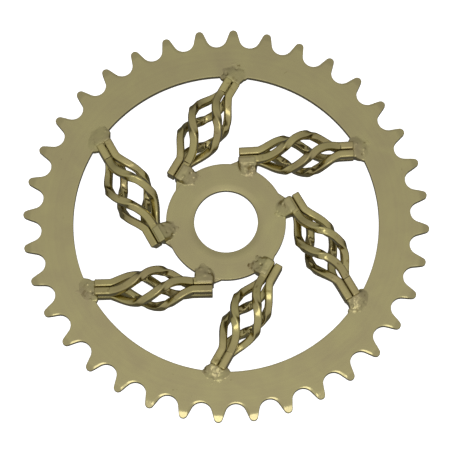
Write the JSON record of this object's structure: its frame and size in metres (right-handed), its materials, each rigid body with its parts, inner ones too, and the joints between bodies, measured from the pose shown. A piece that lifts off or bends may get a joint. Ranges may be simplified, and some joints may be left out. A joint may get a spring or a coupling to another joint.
{
  "type": "chain sprocket",
  "caption": "Flat gold-plated chain sprocket: a toothed ring and a plain hub disc joined by welded twisted birdcage spokes.",
  "frame": {"origin": "centre of the hub's bore, half way through the thickness of the plates", "axes": "+Z along the turning axis, out of the face that the picture shows; +X to that face's right and +Y to its top"},
  "size_m": [0.1516, 0.1516, 0.0186],
  "materials": {
    "plate": "satin gold plating on flat steel plate",
    "bars": "bright gold plating on square steel bar",
    "welds": "gold plating over rough ground weld beads"
  },
  "bodies": {
    "root": {"toothed_ring": "plate", "hub_disc": "plate", "spoke_1_bar_1": "bars", "spoke_1_bar_2": "bars", "spoke_1_bar_3": "bars", "spoke_1_bar_4": "bars", "spoke_1_rim_weld": "welds", "spoke_1_hub_weld": "welds", "spoke_2_bar_1": "bars", "spoke_2_bar_2": "bars", "spoke_2_bar_3": "bars", "spoke_2_bar_4": "bars", "spoke_2_rim_weld": "welds", "spoke_2_hub_weld": "welds", "spoke_3_bar_1": "bars", "spoke_3_bar_2": "bars", "spoke_3_bar_3": "bars", "spoke_3_bar_4": "bars", "spoke_3_rim_weld": "welds", "spoke_3_hub_weld": "welds", "spoke_4_bar_1": "bars", "spoke_4_bar_2": "bars", "spoke_4_bar_3": "bars", "spoke_4_bar_4": "bars", "spoke_4_rim_weld": "welds", "spoke_4_hub_weld": "welds", "spoke_5_bar_1": "bars", "spoke_5_bar_2": "bars", "spoke_5_bar_3": "bars", "spoke_5_bar_4": "bars", "spoke_5_rim_weld": "welds", "spoke_5_hub_weld": "welds", "spoke_6_bar_1": "bars", "spoke_6_bar_2": "bars", "spoke_6_bar_3": "bars", "spoke_6_bar_4": "bars", "spoke_6_rim_weld": "welds", "spoke_6_hub_weld": "welds"}
  },
  "joints": []
}
